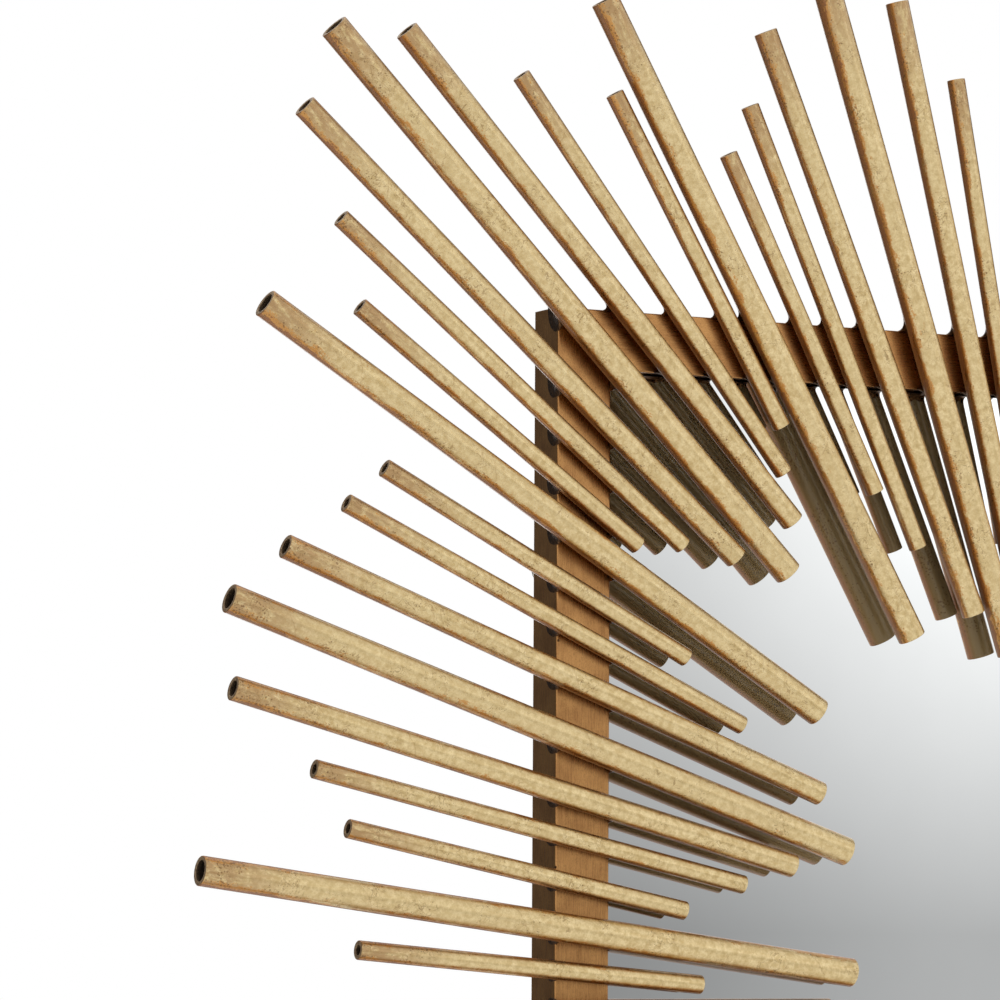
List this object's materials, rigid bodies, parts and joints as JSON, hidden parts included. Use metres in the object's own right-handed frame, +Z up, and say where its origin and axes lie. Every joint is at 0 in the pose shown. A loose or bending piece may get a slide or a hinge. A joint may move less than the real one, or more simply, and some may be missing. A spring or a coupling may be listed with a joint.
{
  "type": "sunburst wall mirror",
  "caption": "Square sunburst wall mirror: gilded round tubes welded across the face of a bronze tube frame and pointing outward, with a panelled back and swinging ring hangers.",
  "frame": {"origin": "centre of the back panel's rear face, on the line through the middle of the square frame", "axes": "+X to the right as seen from the front, +Y back towards the wall, +Z up; the mirror faces -Y"},
  "size_m": [1.0382, 0.0494, 1.0382],
  "materials": {
    "gilded_tube": "aged gold leaf over red-brown bole, satin",
    "bronze_frame": "satin antique bronze",
    "weld_metal": "gilded weld bead, dulled",
    "mirror": "silvered plate glass",
    "core_board": "raw fibreboard",
    "back_panel": "dark painted hardboard",
    "screw_steel": "zinc plated",
    "hanger_steel": "nickel plated",
    "bumper_rubber": "matt"
  },
  "bodies": {
    "mirror": {"frame_rail_left": "bronze_frame", "frame_rail_bottom": "bronze_frame", "frame_rail_right": "bronze_frame", "frame_rail_top": "bronze_frame", "long_rod_left_1": "gilded_tube", "long_rod_left_2": "gilded_tube", "long_rod_left_3": "gilded_tube", "long_rod_left_4": "gilded_tube", "long_rod_left_5": "gilded_tube", "long_rod_left_6": "gilded_tube", "long_rod_left_7": "gilded_tube", "long_rod_bottom_1": "gilded_tube", "long_rod_bottom_2": "gilded_tube", "long_rod_bottom_3": "gilded_tube", "long_rod_bottom_4": "gilded_tube", "long_rod_bottom_5": "gilded_tube", "long_rod_bottom_6": "gilded_tube", "long_rod_bottom_7": "gilded_tube", "long_rod_right_1": "gilded_tube", "long_rod_right_2": "gilded_tube", "long_rod_right_3": "gilded_tube", "long_rod_right_4": "gilded_tube", "long_rod_right_5": "gilded_tube", "long_rod_right_6": "gilded_tube", "long_rod_right_7": "gilded_tube", "long_rod_top_1": "gilded_tube", "long_rod_top_2": "gilded_tube", "long_rod_top_3": "gilded_tube", "long_rod_top_4": "gilded_tube", "long_rod_top_5": "gilded_tube", "long_rod_top_6": "gilded_tube", "long_rod_top_7": "gilded_tube", "rod_cluster_left_1": "gilded_tube", "rod_cluster_left_2": "gilded_tube", "rod_cluster_left_3": "gilded_tube", "rod_cluster_left_4": "gilded_tube", "rod_cluster_bottom_1": "gilded_tube", "rod_cluster_bottom_2": "gilded_tube", "rod_cluster_bottom_3": "gilded_tube", "rod_cluster_bottom_4": "gilded_tube", "rod_cluster_right_1": "gilded_tube", "rod_cluster_right_2": "gilded_tube", "rod_cluster_right_3": "gilded_tube", "rod_cluster_right_4": "gilded_tube", "rod_cluster_top_1": "gilded_tube", "rod_cluster_top_2": "gilded_tube", "rod_cluster_top_3": "gilded_tube", "rod_cluster_top_4": "gilded_tube", "weld_beads": "weld_metal", "mirror_glass": "mirror", "core_board": "core_board", "back_panel": "back_panel", "panel_screws": "screw_steel", "hanger_screws": "screw_steel", "hanger_strap_left": "hanger_steel", "hanger_strap_right": "hanger_steel", "wall_bumpers": "bumper_rubber"},
    "ring_left": {"hanger_ring_left": "hanger_steel"},
    "ring_right": {"hanger_ring_right": "hanger_steel"}
  },
  "joints": [
    {"name": "hanger_ring_left_swing", "type": "hinge", "parent": "mirror", "child": "ring_left", "pos_m": [-0.31, 0.0026, 0.205], "axis": [1, 0, 0], "range_deg": [0, 176.5]},
    {"name": "hanger_ring_right_swing", "type": "hinge", "parent": "mirror", "child": "ring_right", "pos_m": [0.31, 0.0026, 0.205], "axis": [1, 0, 0], "range_deg": [0, 176.5]}
  ]
}
